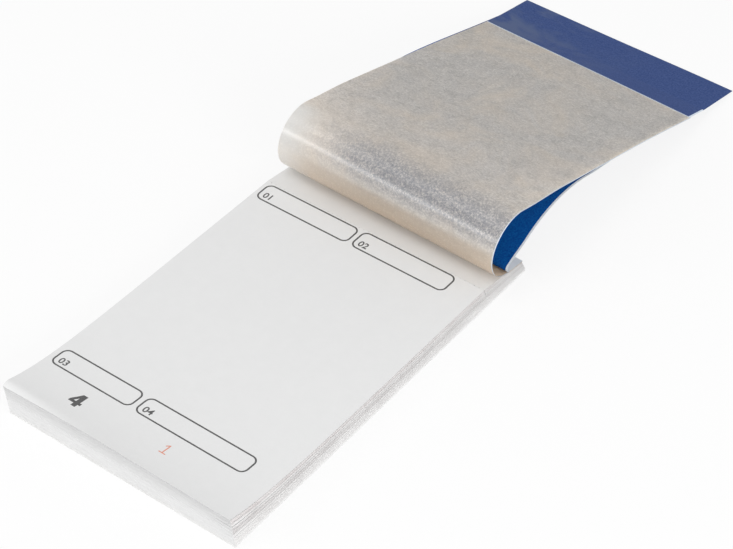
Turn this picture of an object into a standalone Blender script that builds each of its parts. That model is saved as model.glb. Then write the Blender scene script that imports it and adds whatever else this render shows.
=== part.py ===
"""Order pad with its carbon sheet and guard sheet turned back over the stapled head.

Metres, +Z up. The origin is the middle of the card back's underside, +Y runs from the foot to the head
and +X to the right of someone writing on the pad. Everything is stored as the pad lies on a table: the
leaves curled up at the foot, and the two loose sheets turned back so that they come down on the table.
"""
from cmath import rect
from math import atan2, cos, pi, radians, sin, tan

import bmesh
import bpy
from mathutils import Vector

# Pad outline
PAD_WIDTH = 0.095
PAD_LENGTH = 0.160
PERFORATION_FROM_HEAD = 0.0228
PERFORATION_GAP = 0.0003

# Card back and leaves
BOARD_THICKNESS = 0.0010
LEAF_THICKNESS = 0.00006
LEAF_CLEARANCE = 0.00002
SINGLE_LEAVES = 12
BUNDLES = 3
LEAVES_PER_BUNDLE = 6
PUFF_AT_PERFORATION = 0.000105
PUFF_AT_FOOT = 0.000330
FAN_PER_LEAF = 0.00006
CURL_STEADY_SHARE = 0.115
CURL_POWER = 8
CURL_BEND_SHARES = (0.62, 0.86)

# Loose sheets
GUARD_THICKNESS = 0.00006
CARBON_THICKNESS = 0.00010
SHEET_CLEARANCE = 0.0003
SHEET_SIDE_SHIFT = -0.0012
STRIP_GAP = 0.0003
FOLD_SKEW = radians(1.5)
GUARD_LOOP_RADIUS = 0.0132
GUARD_LOOP_STRIP_COUNT = 11
GUARD_STRIPS_TO_PERFORATION = 4
CARBON_FOLD_FROM_HEAD = 0.0072
CARBON_FOLD_RADIUS = 0.0017
CARBON_FOLD_STRIP_COUNT = 2
CARBON_RISE = radians(34.0)
CARBON_BEND_STRIP_COUNT = 6
CARBON_TAIL_LENGTH = 0.022
CARBON_TAIL_DROP = radians(8.0)
TABLE_CLEARANCE = 0.0002

# Staples
STAPLE_SPACING = 0.042
STAPLE_FROM_HEAD = 0.0040
STAPLE_CROWN = 0.012
STAPLE_CLINCH = 0.0040
STAPLE_WIRE_WIDTH = 0.0005
STAPLE_WIRE_HEIGHT = 0.0004
STAPLE_BEND_RADIUS = 0.0005
STAPLE_BEND_STEPS = 3
STAPLE_RECESS = 0.00005
STAPLE_CLEARANCE = 0.00015

HEAD = PAD_LENGTH / 2
FOOT = -PAD_LENGTH / 2
PERFORATION = HEAD - PERFORATION_FROM_HEAD
HALF_WIDTH = PAD_WIDTH / 2
LEAF_COUNT = SINGLE_LEAVES + BUNDLES * LEAVES_PER_BUNDLE


def clear_scene():
    for old in list(bpy.data.objects):
        bpy.data.objects.remove(old, do_unlink=True)


def make_material(name, colour, roughness, metallic=0.0):
    material = bpy.data.materials.new(name)
    material.use_nodes = True
    shader = material.node_tree.nodes["Principled BSDF"]
    shader.inputs["Base Color"].default_value = (*colour, 1.0)
    shader.inputs["Roughness"].default_value = roughness
    shader.inputs["Metallic"].default_value = metallic
    return material


def add_object(name, bm, material, origin=(0.0, 0.0, 0.0)):
    """Turn a bmesh in world coordinates into an object whose origin is at the given point."""
    bmesh.ops.translate(bm, verts=bm.verts, vec=-Vector(origin))
    bmesh.ops.recalc_face_normals(bm, faces=bm.faces)
    mesh = bpy.data.meshes.new(name)
    bm.to_mesh(mesh)
    bm.free()
    mesh.materials.append(material)
    obj = bpy.data.objects.new(name, mesh)
    obj.location = origin
    bpy.context.scene.collection.objects.link(obj)
    return obj


def loft(sections):
    """Closed bmesh through a row of equal point loops, capped at both ends."""
    bm = bmesh.new()
    rings = [[bm.verts.new(point) for point in section] for section in sections]
    for ring, following in zip(rings, rings[1:]):
        for i, vert in enumerate(ring):
            j = (i + 1) % len(ring)
            bm.faces.new((vert, ring[j], following[j], following[i]))
    bm.faces.new(rings[0][::-1])
    bm.faces.new(rings[-1])
    return bm


def add_boxes(bm, boxes):
    for low, high in boxes:
        corners = bmesh.ops.create_cube(bm, size=1.0)["verts"]
        size = Vector(high) - Vector(low)
        middle = (Vector(high) + Vector(low)) / 2
        bmesh.ops.scale(bm, verts=corners, vec=size)
        bmesh.ops.translate(bm, verts=corners, vec=middle)


def make_cutter(name, boxes):
    bm = bmesh.new()
    add_boxes(bm, boxes)
    mesh = bpy.data.meshes.new(name)
    bm.to_mesh(mesh)
    bm.free()
    cutter = bpy.data.objects.new(name, mesh)
    cutter.hide_render = True
    cutter.display_type = "WIRE"
    bpy.context.scene.collection.objects.link(cutter)
    return cutter


def cut(obj, cutter):
    modifier = obj.modifiers.new(cutter.name, "BOOLEAN")
    modifier.operation = "DIFFERENCE"
    modifier.solver = "EXACT"
    modifier.object = cutter


# Leaf stack: leaf 0 lies on the card back, and each leaf's underside is straight between its stations

def leaf_underside(index, puff):
    pitch = LEAF_THICKNESS + LEAF_CLEARANCE + puff
    return BOARD_THICKNESS + LEAF_CLEARANCE + index * pitch


def underside_at_foot(index):
    return leaf_underside(index, PUFF_AT_FOOT)


def underside_at_perforation(index):
    return leaf_underside(index, PUFF_AT_PERFORATION)


def underside_at_head(index):
    return leaf_underside(index, 0.0)


def underside_on_slip(index, share):
    """Height at a share of the way from the perforation to the foot: nearly flat, then curling up."""
    start = underside_at_perforation(index)
    risen = CURL_STEADY_SHARE * share + (1 - CURL_STEADY_SHARE) * share ** CURL_POWER
    return start + (underside_at_foot(index) - start) * risen


def slip_stations(index):
    """Place and height of a leaf's underside at the foot and at the bends of its curl."""
    stations = [(FOOT, underside_at_foot(index))]
    for share in CURL_BEND_SHARES[::-1]:
        stations.append((PERFORATION + (FOOT - PERFORATION) * share, underside_on_slip(index, share)))
    return stations


def fan_shift(index):
    """Upper leaves lie further to the left than lower ones."""
    return -FAN_PER_LEAF * index


def layer_section(y, low, high, low_shift, high_shift):
    return [
        (low_shift - HALF_WIDTH, y, low),
        (low_shift + HALF_WIDTH, y, low),
        (high_shift + HALF_WIDTH, y, high),
        (high_shift - HALF_WIDTH, y, high),
    ]


def leaf_section(index, y, underside):
    shift = fan_shift(index)
    return layer_section(y, underside, underside + LEAF_THICKNESS, shift, shift)


def perforation_underside_near(index, y):
    """Height of a leaf's underside just in front of or behind the perforation line."""
    middle = underside_at_perforation(index)
    end, height = slip_stations(index)[-1] if y < PERFORATION else (HEAD, underside_at_head(index))
    return middle + (height - middle) * (y - PERFORATION) / (end - PERFORATION)


def make_board(material):
    sections = [layer_section(y, 0.0, BOARD_THICKNESS, 0.0, 0.0) for y in (FOOT, HEAD)]
    return add_object("backing_board", loft(sections), material)


def leaf_stations(index):
    stations = slip_stations(index)
    stations.append((PERFORATION, underside_at_perforation(index)))
    stations.append((HEAD, underside_at_head(index)))
    return stations


def make_bundle(number, first, material):
    """Lower leaves that lie tight together, drawn as one solid from their first to their last leaf."""
    last = first + LEAVES_PER_BUNDLE - 1
    sections = []
    for (y, low), (_, high) in zip(leaf_stations(first), leaf_stations(last)):
        sections.append(layer_section(y, low, high + LEAF_THICKNESS, fan_shift(first), fan_shift(last)))
    return add_object(f"leaf_bundle_{number}", loft(sections), material)


def make_leaf_slip(number, index, material):
    """The part of a leaf that is written on and torn off."""
    edge = PERFORATION - PERFORATION_GAP / 2
    stations = slip_stations(index) + [(edge, perforation_underside_near(index, edge))]
    sections = [leaf_section(index, y, underside) for y, underside in stations]
    origin = (fan_shift(index), PERFORATION, underside_at_perforation(index))
    return add_object(f"leaf_{number:02d}_slip", loft(sections), material, origin)


def make_leaf_stub(number, index, material):
    """The part of a leaf that stays under the staples."""
    edge = PERFORATION + PERFORATION_GAP / 2
    sections = [
        leaf_section(index, edge, perforation_underside_near(index, edge)),
        leaf_section(index, HEAD, underside_at_head(index)),
    ]
    return add_object(f"leaf_{number:02d}_stub", loft(sections), material)


def make_leaves(material):
    """Bundles first, from the card back up, then the single leaves. Leaf 1 is the top one."""
    stapled = []
    for bundle in range(BUNDLES):
        stapled.append(make_bundle(bundle + 1, bundle * LEAVES_PER_BUNDLE, material))
    for number in range(1, SINGLE_LEAVES + 1):
        index = LEAF_COUNT - number
        make_leaf_slip(number, index, material)
        stapled.append(make_leaf_stub(number, index, material))
    return stapled


# Loose sheets: each is a row of flat links, bent at lines that run across the sheet

def head_slope():
    rise = underside_at_perforation(LEAF_COUNT - 1) - underside_at_head(LEAF_COUNT - 1)
    return atan2(rise, HEAD - PERFORATION)


def page_slope():
    rise = underside_at_foot(LEAF_COUNT - 1) - underside_at_perforation(LEAF_COUNT - 1)
    return atan2(rise, PERFORATION - FOOT)


def stub_height(y, lift):
    """Height above the table of a sheet that lies on the top leaf's stub, at the given lift above it."""
    return perforation_underside_near(LEAF_COUNT - 1, y) + LEAF_THICKNESS + lift


class Sheet:
    """A loose sheet as flat links in the plane across its bend lines.

    Places in that plane are complex numbers: the real part runs from the sheet's pivot towards the foot,
    and the imaginary part runs up. A link's angle is 0 where the sheet points to the foot, 90 degrees where
    it stands up and 180 degrees where it points away from the pad. Distances along the sheet are counted
    from its pivot line, where it leaves the stub.
    """

    def __init__(self, name, thickness, lift, pivot_y, bends, first_on_page):
        self.name = name
        self.thickness = thickness
        self.pivot = Vector((SHEET_SIDE_SHIFT, pivot_y, stub_height(pivot_y, lift)))
        self.along_bend = Vector((cos(FOLD_SKEW), -sin(FOLD_SKEW), 0.0))
        self.to_head = Vector((sin(FOLD_SKEW), cos(FOLD_SKEW), 0.0))
        self.starts = [0.0] + [distance for distance, _ in bends]
        self.angles = [head_slope()]
        for _, bend in bends:
            self.angles.append(self.angles[-1] + bend)
        self.closed_angles = []
        for link in range(len(self.starts)):
            on_page = link >= first_on_page
            self.closed_angles.append(page_slope() if on_page else head_slope())
        self.points = self.link_points(self.angles)
        self.closed_points = self.link_points(self.closed_angles)

    def link_points(self, angles):
        """Start of each link, when the links lie at the given angles."""
        points = [0j]
        for link in range(1, len(self.starts)):
            length = self.starts[link] - self.starts[link - 1]
            points.append(points[-1] + rect(length, angles[link - 1]))
        return points

    def in_space(self, side_offset, point):
        across = self.along_bend * side_offset - self.to_head * point.real
        return self.pivot + across + Vector((0.0, 0.0, point.imag))

    def place(self, link, side_offset, distance, lift):
        angle = self.angles[link]
        point = self.points[link] + rect(distance - self.starts[link], angle) + rect(lift, angle + pi / 2)
        return self.in_space(side_offset, point)

    def corner_on_line(self, side, distance):
        return side * HALF_WIDTH / cos(FOLD_SKEW) + distance * tan(FOLD_SKEW), distance

    def corner_at_edge(self, side, y):
        """Corner of the sheet on its square-cut head or foot edge, as it lies when it is closed."""
        ahead = y - self.pivot.y
        offset = side * HALF_WIDTH * cos(FOLD_SKEW) - ahead * sin(FOLD_SKEW)
        return offset, -side * HALF_WIDTH * sin(FOLD_SKEW) - ahead * cos(FOLD_SKEW)

    def section(self, link, corners):
        (left_offset, left), (right_offset, right) = corners
        half = self.thickness / 2
        return [
            self.place(link, left_offset, left, -half),
            self.place(link, right_offset, right, -half),
            self.place(link, right_offset, right, half),
            self.place(link, left_offset, left, half),
        ]

    def link_solid(self, link):
        last = len(self.starts) - 1
        if link == 0:
            start = [self.corner_at_edge(side, HEAD) for side in (-1, 1)]
        else:
            distance = self.starts[link] + STRIP_GAP / 2
            start = [self.corner_on_line(side, distance) for side in (-1, 1)]
        if link == last:
            end = [self.corner_at_edge(side, FOOT) for side in (-1, 1)]
        else:
            distance = self.starts[link + 1] - STRIP_GAP / 2
            end = [self.corner_on_line(side, distance) for side in (-1, 1)]
        return loft([self.section(link, start), self.section(link, end)])

    def line_point(self, link):
        """Middle of the bend line at the start of a link."""
        distance = self.starts[link]
        return self.place(link, distance * tan(FOLD_SKEW), distance, 0.0)

    def turning_point(self, link):
        """Point that stays put when a link turns from where it lies to where it lies closed on the page."""
        turn = rect(1.0, self.closed_angles[link] - self.angles[link])
        return self.in_space(0.0, (self.closed_points[link] - turn * self.points[link]) / (1 - turn))


def guard_lift():
    return SHEET_CLEARANCE + GUARD_THICKNESS / 2


def carbon_lift():
    return 2 * SHEET_CLEARANCE + GUARD_THICKNESS + CARBON_THICKNESS / 2


def even_bends(start, pitch, turn, strips):
    """Bends before, between and after a run of equal strips that follow one round curve."""
    bends = [(start + number * pitch, turn / strips) for number in range(strips + 1)]
    bends[0] = (start, turn / strips / 2)
    bends[-1] = (start + strips * pitch, turn / strips / 2)
    return bends


def chord(radius, turn, strips):
    return 2 * radius * sin(turn / strips / 2)


def guard_sheet(flap_drop):
    """Even bends around the loop, with one bend line over the perforation when the sheet is closed."""
    turn = pi + flap_drop - head_slope()
    pitch = chord(GUARD_LOOP_RADIUS, turn, GUARD_LOOP_STRIP_COUNT)
    pivot_y = PERFORATION + GUARD_STRIPS_TO_PERFORATION * pitch * cos(head_slope())
    bends = even_bends(0.0, pitch, turn, GUARD_LOOP_STRIP_COUNT)
    first_on_page = GUARD_STRIPS_TO_PERFORATION + 1
    return Sheet("guard_sheet", GUARD_THICKNESS, guard_lift(), pivot_y, bends, first_on_page)


def height_on_flap(sheet, link, flap_drop):
    """Height of a link's start above the head's foot on the table, square to the flaps."""
    place = sheet.place(link, 0.0, sheet.starts[link], 0.0)
    return (place - Vector((0.0, HEAD, 0.0))).dot(sheet.to_head) * sin(flap_drop) + place.z * cos(flap_drop)


def carbon_sheet(flap_drop):
    """A tight fold at the stub, then a slow bend that brings the flap up under the guard sheet's flap."""
    pivot_y = HEAD - CARBON_FOLD_FROM_HEAD
    fold = pi - CARBON_RISE - head_slope()
    fold_pitch = chord(CARBON_FOLD_RADIUS, fold, CARBON_FOLD_STRIP_COUNT)
    bends = even_bends(0.0, fold_pitch, fold, CARBON_FOLD_STRIP_COUNT)
    rise_link = len(bends)
    folded = Sheet("carbon_sheet", CARBON_THICKNESS, carbon_lift(), pivot_y, bends, rise_link + 1)

    turn = CARBON_RISE + flap_drop
    perforation = (pivot_y - PERFORATION) / cos(head_slope())
    rise = (perforation - bends[-1][0]) * sin(turn)
    guard = guard_sheet(flap_drop)
    flap_gap = SHEET_CLEARANCE + (GUARD_THICKNESS + CARBON_THICKNESS) / 2
    wanted = height_on_flap(guard, len(guard.starts) - 1, flap_drop) - flap_gap
    still_to_rise = wanted - height_on_flap(folded, rise_link, flap_drop) - rise
    strips = CARBON_BEND_STRIP_COUNT
    middles = [turn * (1 - (number + 0.5) / strips) for number in range(strips)]
    bend_pitch = still_to_rise / sum(sin(middle) for middle in middles)
    bends += even_bends(perforation, bend_pitch, turn, strips)

    tail_start = (pivot_y - FOOT) / cos(FOLD_SKEW) - CARBON_TAIL_LENGTH
    bends.append((tail_start, CARBON_TAIL_DROP - flap_drop))
    return Sheet("carbon_sheet", CARBON_THICKNESS, carbon_lift(), pivot_y, bends, rise_link + 1)


def solve_flap_drop():
    """Slope of the flaps at which the end of the carbon sheet's tail comes down on the table."""
    low, high = 0.0, pi / 4
    for _ in range(50):
        middle = (low + high) / 2
        sheet = carbon_sheet(middle)
        tail = len(sheet.starts) - 1
        corners = [sheet.corner_at_edge(side, FOOT) for side in (-1, 1)]
        lowest = min(point.z for point in sheet.section(tail, corners))
        if lowest > TABLE_CLEARANCE:
            low = middle
        else:
            high = middle
    return low


def make_sheet(sheet, end_parts, material):
    """One object for each link: the stub stays in the pad, and the others turn over on to the page."""
    links = len(sheet.starts)
    stub = add_object(f"{sheet.name}_stub", sheet.link_solid(0), material)
    strips = links - 1 - len(end_parts)
    parts = [f"strip_{number}" for number in range(1, strips + 1)] + end_parts
    for link, part in enumerate(parts, start=1):
        origin = sheet.line_point(link) if part == "tail" else sheet.turning_point(link)
        add_object(f"{sheet.name}_{part}", sheet.link_solid(link), material, origin)
    return stub


# Staples: flat wire, pushed through from the top and turned inwards under the card back

def staple_y():
    return HEAD - STAPLE_FROM_HEAD


def staple_levels():
    """Middle of the wire in the crown and in the turned-in ends."""
    front = staple_y() - STAPLE_WIRE_WIDTH / 2
    under_crown = stub_height(front, carbon_lift() + CARBON_THICKNESS / 2) + STAPLE_CLEARANCE
    return under_crown + STAPLE_WIRE_HEIGHT / 2, STAPLE_RECESS + STAPLE_WIRE_HEIGHT / 2


def rounded_path(corners):
    """Points and left-hand normals along straight runs in the XZ plane with round bends between them."""
    path = []
    first = (corners[1] - corners[0]).normalized()
    path.append((corners[0], first.orthogonal()))
    for before, corner, after in zip(corners, corners[1:], corners[2:]):
        arriving = (corner - before).normalized()
        leaving = (after - corner).normalized()
        centre = corner - (arriving - leaving) * STAPLE_BEND_RADIUS
        for step in range(STAPLE_BEND_STEPS + 1):
            turn = step / STAPLE_BEND_STEPS * pi / 2
            outward = arriving * sin(turn) - leaving * cos(turn)
            heading = arriving * cos(turn) + leaving * sin(turn)
            path.append((centre + outward * STAPLE_BEND_RADIUS, heading.orthogonal()))
    final = (corners[-1] - corners[-2]).normalized()
    path.append((corners[-1], final.orthogonal()))
    return path


def make_staple(name, middle_x, material):
    crown, clinch = staple_levels()
    half = STAPLE_CROWN / 2
    corners = [
        Vector((STAPLE_CLINCH - half, clinch)),
        Vector((-half, clinch)),
        Vector((-half, crown)),
        Vector((half, crown)),
        Vector((half, clinch)),
        Vector((half - STAPLE_CLINCH, clinch)),
    ]
    path = rounded_path(corners)
    outer = [point + normal * STAPLE_WIRE_HEIGHT / 2 for point, normal in path]
    inner = [point - normal * STAPLE_WIRE_HEIGHT / 2 for point, normal in path]
    outline = outer + inner[::-1]
    sections = []
    for side in (-1, 1):
        y = staple_y() + side * STAPLE_WIRE_WIDTH / 2
        sections.append([(middle_x + point.x, y, point.y) for point in outline])
    return add_object(name, loft(sections), material)


def staple_middles():
    return {"staple_left": -STAPLE_SPACING / 2, "staple_right": STAPLE_SPACING / 2}


def make_leg_cutter():
    """Holes for the four staple legs, through everything that they pass."""
    crown, _ = staple_levels()
    reach = STAPLE_WIRE_HEIGHT / 2 + STAPLE_CLEARANCE
    deep = STAPLE_WIRE_WIDTH / 2 + STAPLE_CLEARANCE
    boxes = []
    for middle in staple_middles().values():
        for side in (-1, 1):
            x = middle + side * STAPLE_CROWN / 2
            low = (x - reach, staple_y() - deep, -BOARD_THICKNESS)
            high = (x + reach, staple_y() + deep, crown + BOARD_THICKNESS)
            boxes.append((low, high))
    return make_cutter("staple_leg_holes", boxes)


def make_clinch_cutter():
    """Grooves pressed into the card back's underside by the turned-in ends."""
    deep = STAPLE_WIRE_WIDTH / 2 + STAPLE_CLEARANCE
    top = STAPLE_RECESS + STAPLE_WIRE_HEIGHT + STAPLE_CLEARANCE
    boxes = []
    for middle in staple_middles().values():
        for side in (-1, 1):
            outer = middle + side * STAPLE_CROWN / 2
            inner = outer - side * (STAPLE_CLINCH + STAPLE_CLEARANCE)
            low = (min(outer, inner), staple_y() - deep, -BOARD_THICKNESS)
            high = (max(outer, inner), staple_y() + deep, top)
            boxes.append((low, high))
    return make_cutter("staple_clinch_grooves", boxes)


def main():
    clear_scene()
    white_paper = make_material("white_paper", (0.78, 0.78, 0.77), 0.75)
    white_card = make_material("white_card", (0.72, 0.71, 0.69), 0.8)
    tissue = make_material("tissue", (0.46, 0.43, 0.39), 0.55)
    blue_carbon = make_material("blue_carbon", (0.03, 0.07, 0.26), 0.35)
    steel_wire = make_material("steel_wire", (0.6, 0.6, 0.6), 0.3, 1.0)

    board = make_board(white_card)
    stapled = make_leaves(white_paper)
    flap_drop = solve_flap_drop()
    stapled.append(make_sheet(guard_sheet(flap_drop), ["flap"], tissue))
    stapled.append(make_sheet(carbon_sheet(flap_drop), ["flap", "tail"], blue_carbon))
    for name, middle in staple_middles().items():
        make_staple(name, middle, steel_wire)

    leg_cutter = make_leg_cutter()
    for obj in [board, *stapled]:
        cut(obj, leg_cutter)
    cut(board, make_clinch_cutter())


main()
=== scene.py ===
"""Looks of the order pad: curled leaves, printed page, tissue guard sheet and blue carbon sheet."""
from cmath import rect
from math import cos, pi, radians, sin, tan

import bmesh
import bpy
from mathutils import Matrix, Vector, noise
from mathutils.geometry import tessellate_polygon


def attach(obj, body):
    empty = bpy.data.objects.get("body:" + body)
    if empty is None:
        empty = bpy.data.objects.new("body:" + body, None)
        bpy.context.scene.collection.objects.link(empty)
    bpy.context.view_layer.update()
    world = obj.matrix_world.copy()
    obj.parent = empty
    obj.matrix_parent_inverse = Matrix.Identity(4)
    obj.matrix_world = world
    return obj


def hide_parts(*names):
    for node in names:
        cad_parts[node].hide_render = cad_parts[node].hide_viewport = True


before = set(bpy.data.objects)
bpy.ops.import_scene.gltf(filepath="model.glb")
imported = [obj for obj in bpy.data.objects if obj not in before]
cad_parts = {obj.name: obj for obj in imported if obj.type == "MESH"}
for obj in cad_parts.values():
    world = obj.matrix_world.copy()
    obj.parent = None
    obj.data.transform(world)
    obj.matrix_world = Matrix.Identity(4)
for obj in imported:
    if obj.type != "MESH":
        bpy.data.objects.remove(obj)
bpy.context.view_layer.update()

# Pad, in the CAD model's own sizes (metres)
HALF_WIDTH = 0.0475
HEAD = 0.080
FOOT = -0.080
PERFORATION = 0.0572
BOARD_THICKNESS = 0.0010
LEAF_THICKNESS = 0.00006
LEAF_CLEARANCE = 0.00002
PITCH_AT_HEAD = 0.00008
PITCH_AT_PERFORATION = 0.000185
PITCH_AT_FOOT = 0.00041
FAN_PER_LEAF = 0.00006
SINGLE_LEAVES = 12
BUNDLES = 3
LEAVES_PER_BUNDLE = 6
LEAF_COUNT = SINGLE_LEAVES + BUNDLES * LEAVES_PER_BUNDLE
TOP_LEAF = LEAF_COUNT - 1

# Curl of the leaves towards the foot, and their roll at its left
CURL_STEADY = 0.115
CURL_POWER = 8
CURL_MIDDLE = 0.90
CURL_TO_LEFT = 0.115
ROLL_LENGTH = 0.0030
ROLL_DROP = 0.0018

# Steps of the drawn leaves, and the teeth of the perforation
LEAF_ROWS = 22
PAGE_ROWS = 60
STUB_ROWS = 4
BUNDLE_COLUMNS = 24
ROW_POWER = 1.6
ROUNDING = 1e-9
TEETH = 48
TOOTH_LENGTH = 0.00030
TOOTH_SHARE = 0.78

# Gaps between leaves, as shares of the pitch, and where they open towards the right
GAP_AT_LEFT = 0.03
GAP_UNDER_PAGE = 0.12
GAP_AT_RIGHT = 0.5
GAPS_START = 0.0366
GAPS_FULL = 0.0451
GAPS_FROM_LEAF = 8
LEAVES_PER_GAP = 4

# Unevenness of the leaves, and where its noise is sampled: a step for each leaf, a row for each use
LEAF_UNEVEN = 0.00009
UNEVEN_STEP = 7.31
UNEVEN_SIDE = 3.17
UNEVEN_FOOT = 6.34
UNEVEN_GAP = 9.51

# Kinds of face: a leaf's cut edge from each of these leaves up, white or in a band of painted shade, its
# foot, and a loose sheet's margin
EDGE_BANDS = ((23, 3), (19, 2), (12, 4), (0, 2))
FOOT_KIND = 5
MARGIN_KIND = 3

# Loose sheets, in the CAD model's own sizes
SHEET_SIDE_SHIFT = -0.0012
FOLD_SKEW = radians(1.5)
FLAP_DROP = radians(12.9942)
HEAD_SLOPE = radians(7.6070)
GUARD_THICKNESS = 0.00006
GUARD_PIVOT = Vector((SHEET_SIDE_SHIFT, 0.0725388, 0.0047265))
GUARD_LOOP_RADIUS = 0.0132
GUARD_LOOP_STRIPS = 11
CARBON_THICKNESS = 0.00010
CARBON_PIVOT = Vector((SHEET_SIDE_SHIFT, 0.0728, 0.0050716))
CARBON_FOLD_RADIUS = 0.0017
CARBON_FOLD_STRIPS = 2
CARBON_RISE = radians(34.0)
CARBON_BEND_START = 0.015739
CARBON_BEND_PITCH = 0.0060274
CARBON_BEND_STRIPS = 6
CARBON_TAIL_START = 0.130852
CARBON_TAIL_DROP = radians(8.0)
FREE_LENGTH = 0.1

# How the drawn sheets differ from that: cut askew, lifted, cockled and sagging, each between two places
CARBON_TRIM = 0.0045
GUARD_TRIM = 0.0012
FLAP_LIFT = 0.0010
FLAP_LIFT_FALL = (0.205, 0.145)
GUARD_LIFT_RISE = (0.078, 0.100)
CARBON_LIFT_RISE = (0.116, 0.136)
FLAP_COCKLE = 0.00035
COCKLE_RISE = (0.120, 0.150)
COCKLES_ACROSS = 22
COCKLES_ALONG = 16
CARBON_SAG = 0.0010
CARBON_SAG_RISE = (0.0082, 0.0150)
CARBON_SAG_FALL = (0.1480, 0.1050)

# Margins (pale, partly painted highlight), tongues and steps of the drawn sheets
MARGIN_PARTS = ("strip", "flap")
CARBON_MARGIN = 0.0007
GUARD_MARGIN = 0.0003
GUARD_END_MARGIN = 0.0004
TONGUE_LENGTH = 0.0002
TONGUE_THICKNESS = 0.4
NEAR = 0.0001
SHEET_COLUMNS = 40
STRIP_ROWS = 6
FLAP_ROWS = 48

# Print, where it lies on the top leaf: left, right, foot and head side of each box
BOXES = (
    (-0.0474, -0.0069, 0.0476, 0.0560),
    (-0.0048, 0.0346, 0.0476, 0.0564),
    (-0.0469, -0.0128, -0.0604, -0.0521),
    (-0.0104, 0.0348, -0.0604, -0.0522),
)
BOX_CORNER = 0.0024
BOX_CORNER_STEPS = 8
BOX_LINE = 0.00062
INK_HEIGHT = 0.000012
INK_HEIGHT_BELOW = 0.000003
LABEL_INSET = 0.0018
LABEL_RISE = 0.0014
LABEL_SIZE = 0.0040
LABEL_WEIGHT = 0.02
LABEL_CURVE_STEPS = 3
BOLD_NUMBER_PLACE = (-0.0292, -0.0724)
BOLD_NUMBER_HEIGHT = 0.0067
BOLD_FOUR = (
    ((0.0, 0.22), (0.36, 0.22), (0.36, 0.0), (0.62, 0.0), (0.62, 0.22), (0.75, 0.22), (0.75, 0.40),
     (0.62, 0.40), (0.62, 1.0), (0.34, 1.0), (0.0, 0.38)),
    ((0.21, 0.40), (0.36, 0.40), (0.36, 0.67)),
)
SERIAL_NUMBER_PLACE = (0.0084, -0.0702)
SERIAL_NUMBER_HEIGHT = 0.0047
SERIAL_ONE = (
    (0.0, 0.0), (0.58, 0.0), (0.58, 0.095), (0.34, 0.095), (0.34, 1.0), (0.25, 1.0), (0.02, 0.80),
    (0.06, 0.72), (0.24, 0.86), (0.24, 0.095), (0.0, 0.095),
)

# Share of the light that a face of the tissue lets through
TISSUE_THROUGH = 0.57

# Painted light and shade on the tissue, and where it lets more light through, from where each begins to
# where it is full: angles round the loop in radians
WARM_LIGHT_AROUND = (0.45, -0.45)
SHADED_AROUND = (0.34, 0.06)
CLEAR_AROUND = (0.5, 0.0)
CARBON_SHADE_FRONT_AROUND = (0.16, 0.78)
CARBON_SHADE_BACK_AROUND = (1.9, 0.9)
LEFT_LIGHT_AROUND = (2.9, 1.5)
LEFT_END_LIGHT_AROUND = (1.9, 1.3)

# The same painted light and shade across the sheet
CARBON_SHADE_ACROSS = (-0.040, -0.012)
LEFT_LIGHT_ACROSS = (0.0, -0.045)
LEFT_END_LIGHT_ACROSS = (-0.032, -0.047)

# Where painted sheen greys the carbon along the sheet and a painted reflection across it, and where painted
# shade darkens the stack's foot
SHEEN_ALONG = (0.150, 0.175)
REFLECTION_ACROSS = (0.03, -0.04)
FOOT_SHADE_HEIGHT = (0.004, 0.0125)

# Stage
FLOOR_SIZE = 12.0
FLOOR_COLOUR = (0.9, 0.9, 0.9, 1.0)
FLOOR_GLOW = 0.82
SKY_LIGHT = 0.60
WHITE = (1.0, 1.0, 1.0, 1.0)

# Lamps: name, place, target, width, height and power
LAMPS = (
    ("overhead", (-0.25, -0.30, 1.1), (0.0, 0.05, 0.0), 0.7, 0.7, 3.0),
    ("front_left", (-0.50, -0.85, 0.45), (0.0, 0.06, 0.02), 0.60, 0.10, 2.5),
    ("right", (0.75, -0.25, 0.30), (0.0, 0.02, 0.01), 0.5, 0.4, 3.0),
)

# Camera, fitted to the picture
SENSOR_WIDTH = 36.0
LENS = 113.02
AZIMUTH = radians(36.29)
ELEVATION = radians(42.59)
ROLL = radians(0.88)
DISTANCE = 0.79574
TARGET = Vector((0.0080, 0.04013, 0.0050))


# Materials

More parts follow.
